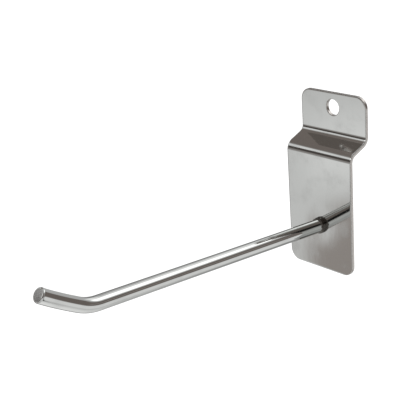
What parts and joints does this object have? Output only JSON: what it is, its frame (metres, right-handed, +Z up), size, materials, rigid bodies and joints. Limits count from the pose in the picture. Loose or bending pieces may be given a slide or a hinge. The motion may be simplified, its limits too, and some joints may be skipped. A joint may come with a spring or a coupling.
{
  "type": "slatwall hook",
  "caption": "Display hook for a slotted wall: a folded sheet plate whose tab drops in behind the slat's lip, with a round wire arm welded to its front and turned up at the tip.",
  "frame": {"origin": "on the wall plane, which is the back face of the lower plate, at mid width and at the height where the arm's centre line leaves the plate's front", "axes": "+Y into the wall, the arm points to -Y, +Z up with the tab at the top, +X along the plate's width"},
  "size_m": [0.036, 0.1544, 0.077],
  "materials": {
    "plated_sheet": "bright chrome plating on flat steel sheet",
    "plated_wire": "bright chrome plating on drawn steel wire",
    "plated_weld": "dark, dull plating over rough weld metal"
  },
  "bodies": {
    "root": {"back_plate": "plated_sheet", "arm": "plated_wire", "weld_bead": "plated_weld"}
  },
  "joints": []
}
